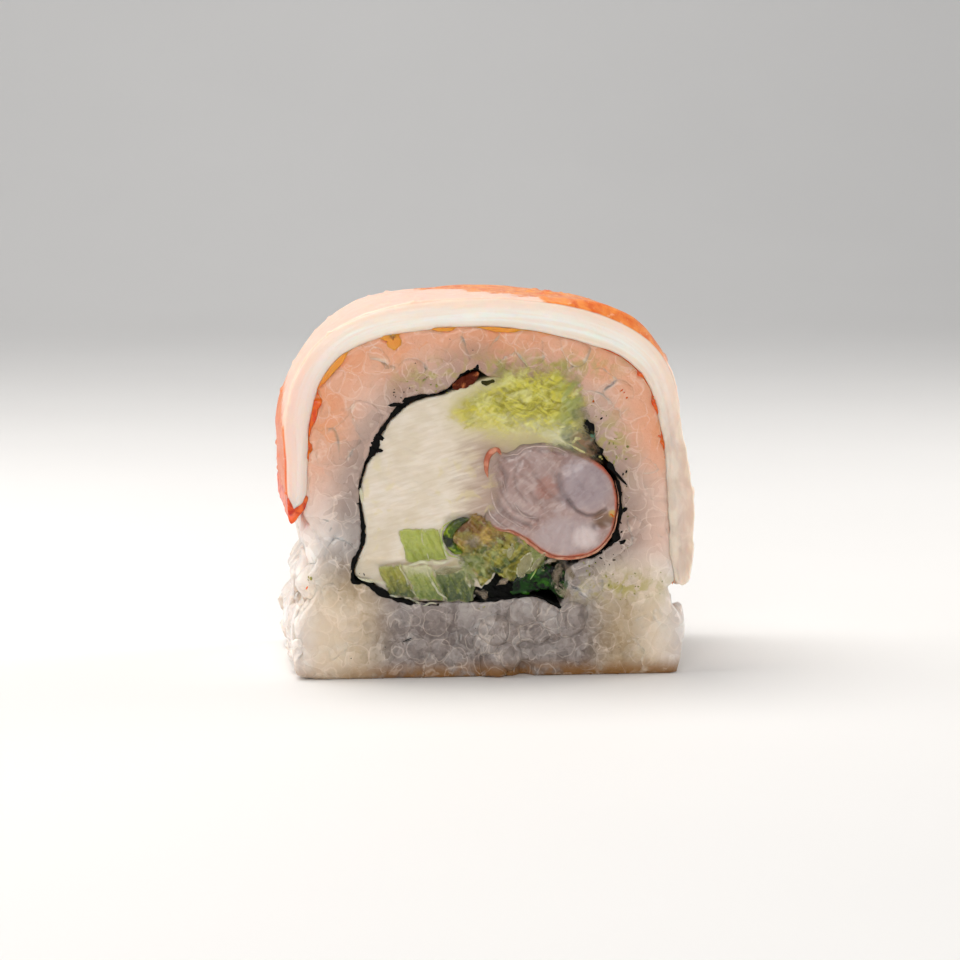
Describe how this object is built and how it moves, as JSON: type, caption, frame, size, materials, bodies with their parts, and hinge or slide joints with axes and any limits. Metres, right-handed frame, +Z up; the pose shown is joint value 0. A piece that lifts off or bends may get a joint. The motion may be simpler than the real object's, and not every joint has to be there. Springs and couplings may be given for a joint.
{
  "type": "kani maki",
  "caption": "Slice of an inside-out sushi roll with seaweed, cream cheese, shrimp and green fillings, topped by a draped sheet of crab stick.",
  "frame": {"origin": "middle of the flat underside that the slice rests on", "axes": "+Z up; +Y along the roll, from the front knife face to the back one; +X to the right when the front face is seen"},
  "size_m": [0.0395, 0.024, 0.0366],
  "materials": {
    "rice": "moist translucent cooked short-grain rice",
    "kani": "moist pale crab stick with patches of orange-red dye outside",
    "seaweed": "near-black roasted seaweed, slightly moist",
    "cream_cheese": "soft cream cheese with faint wipe marks",
    "avocado": "mushy yellow-green avocado",
    "shrimp": "greyish pink cooked shrimp with a reddish rim",
    "cucumber": "wet light-green cucumber",
    "green_leaf": "rolled lettuce, olive above and pale green below",
    "dark_leaf": "dark green folded leaf, wet"
  },
  "bodies": {
    "root": {"rice": "rice", "kani_sheet": "kani", "nori": "seaweed", "cream_cheese": "cream_cheese", "avocado": "avocado", "shrimp": "shrimp", "cucumber_square": "cucumber", "cucumber_strip_1": "cucumber", "cucumber_strip_2": "cucumber", "cucumber_strip_3": "cucumber", "green_leaf": "green_leaf", "dark_leaf": "dark_leaf"}
  },
  "joints": []
}
